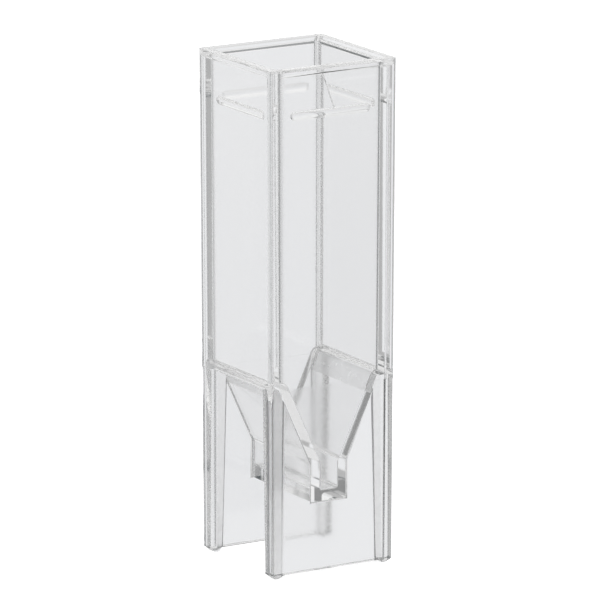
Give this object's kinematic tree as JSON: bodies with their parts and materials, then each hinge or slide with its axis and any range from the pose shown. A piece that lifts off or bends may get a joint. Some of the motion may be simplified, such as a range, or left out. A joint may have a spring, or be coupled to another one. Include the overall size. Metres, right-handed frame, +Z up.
{
  "type": "cuvette",
  "caption": "Clear square measuring cell with a tapered funnel that narrows to a slot-shaped channel between two window plates, standing on corner legs.",
  "frame": {"origin": "centre of the square on which the feet stand", "axes": "+X across the channel, +Y along the light path through the marked window, +Z up to the mouth"},
  "size_m": [0.0126, 0.0126, 0.045],
  "materials": {
    "clear_plastic": "clear moulded polystyrene, polished, with no tint"
  },
  "bodies": {
    "root": {"cuvette": "clear_plastic"}
  },
  "joints": []
}
